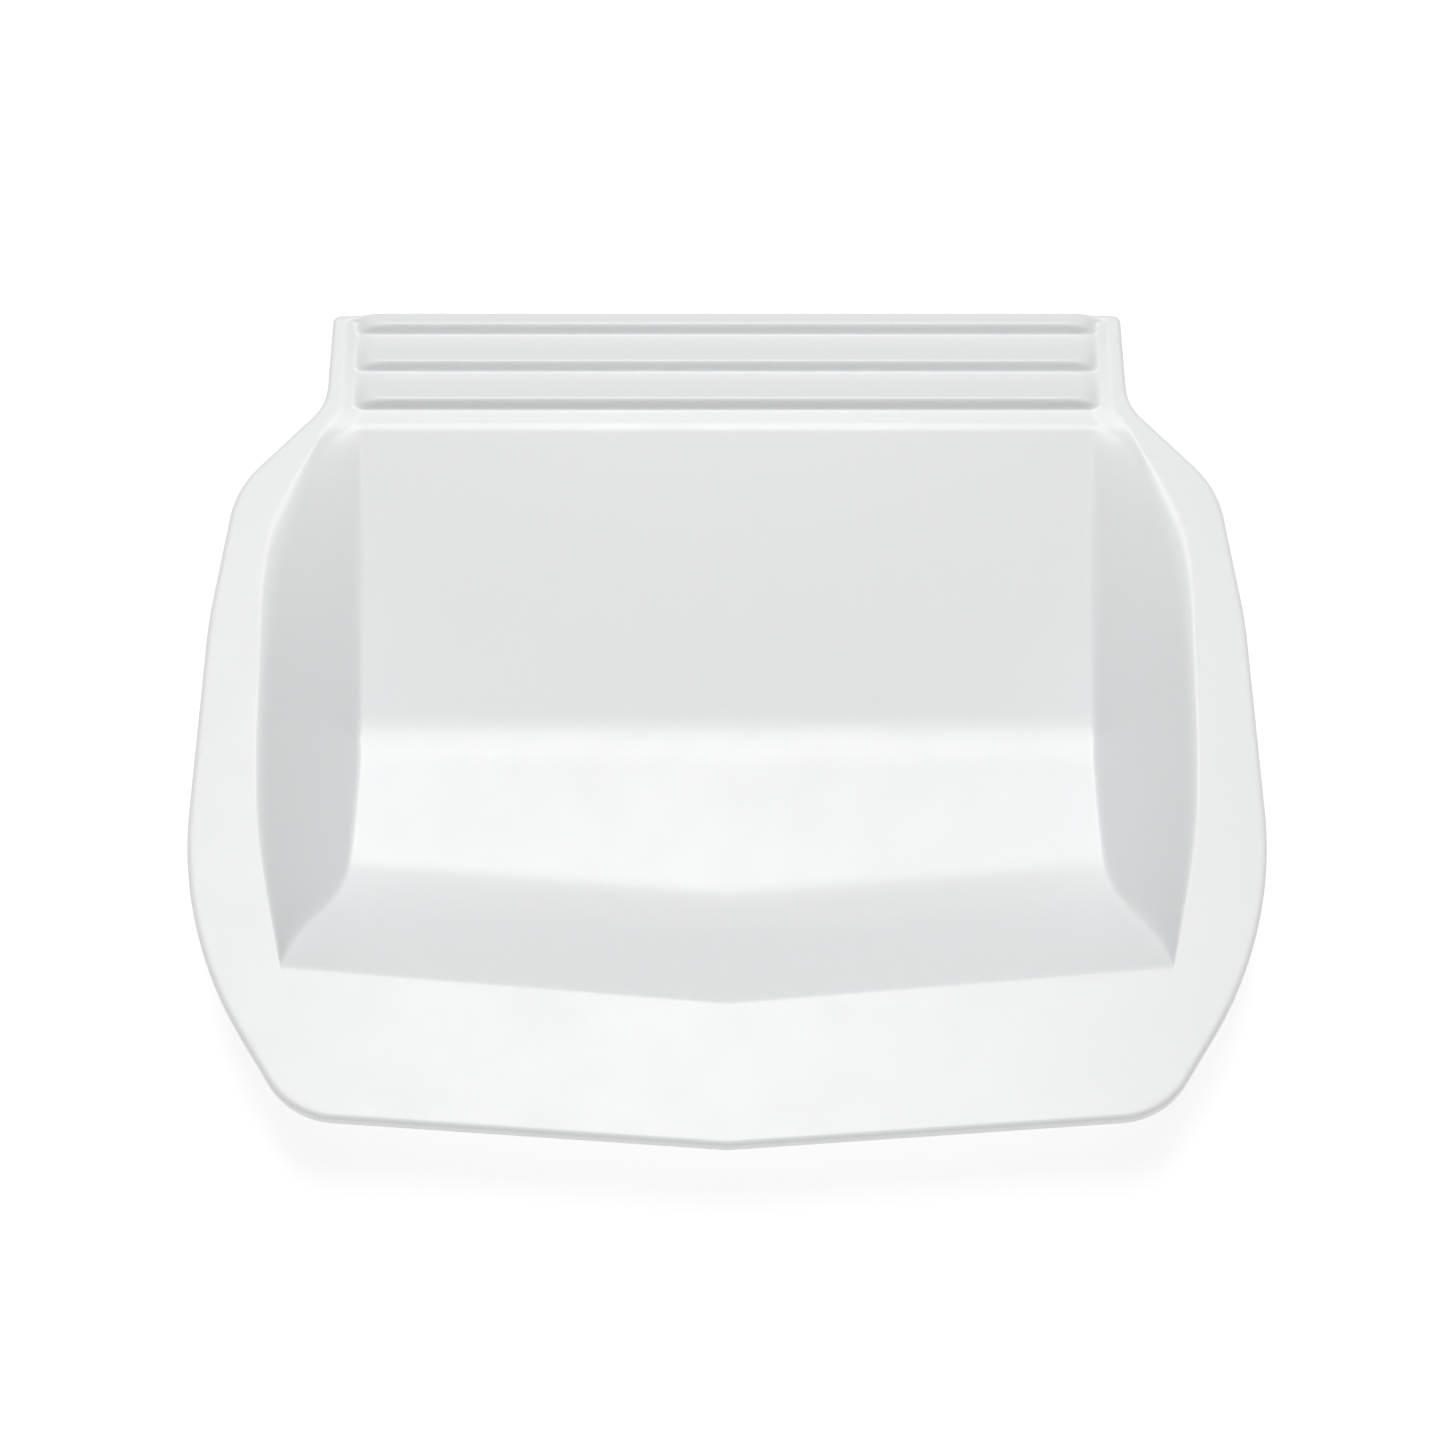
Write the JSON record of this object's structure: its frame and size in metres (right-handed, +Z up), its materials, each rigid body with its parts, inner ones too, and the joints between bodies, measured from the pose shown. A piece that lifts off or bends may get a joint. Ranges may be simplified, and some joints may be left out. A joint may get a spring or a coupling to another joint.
{
  "type": "developing tray",
  "caption": "Shallow white moulded tray with a broad rim, a rear ramp, a folded front wall and a narrower neck with cross ridges.",
  "frame": {"origin": "centre of the overall plan box, on the surface that the tray stands on", "axes": "+X to the tray's right along its width, +Y towards the ridged neck, +Z up"},
  "size_m": [0.3002, 0.2655, 0.0439],
  "materials": {
    "white_plastic": "semi-gloss"
  },
  "bodies": {
    "root": {"back_ledge": "white_plastic", "floor_pan": "white_plastic", "front_rim_left": "white_plastic", "front_rim_right": "white_plastic", "front_wall_left": "white_plastic", "front_wall_right": "white_plastic", "grip_panel": "white_plastic", "neck_border_left": "white_plastic", "neck_border_right": "white_plastic", "rear_ramp": "white_plastic", "ridge_front": "white_plastic", "ridge_middle": "white_plastic", "ridge_rear": "white_plastic", "shoulder_left": "white_plastic", "shoulder_right": "white_plastic", "side_rim_left": "white_plastic", "side_rim_right": "white_plastic", "side_wall_left": "white_plastic", "side_wall_right": "white_plastic"}
  },
  "joints": []
}
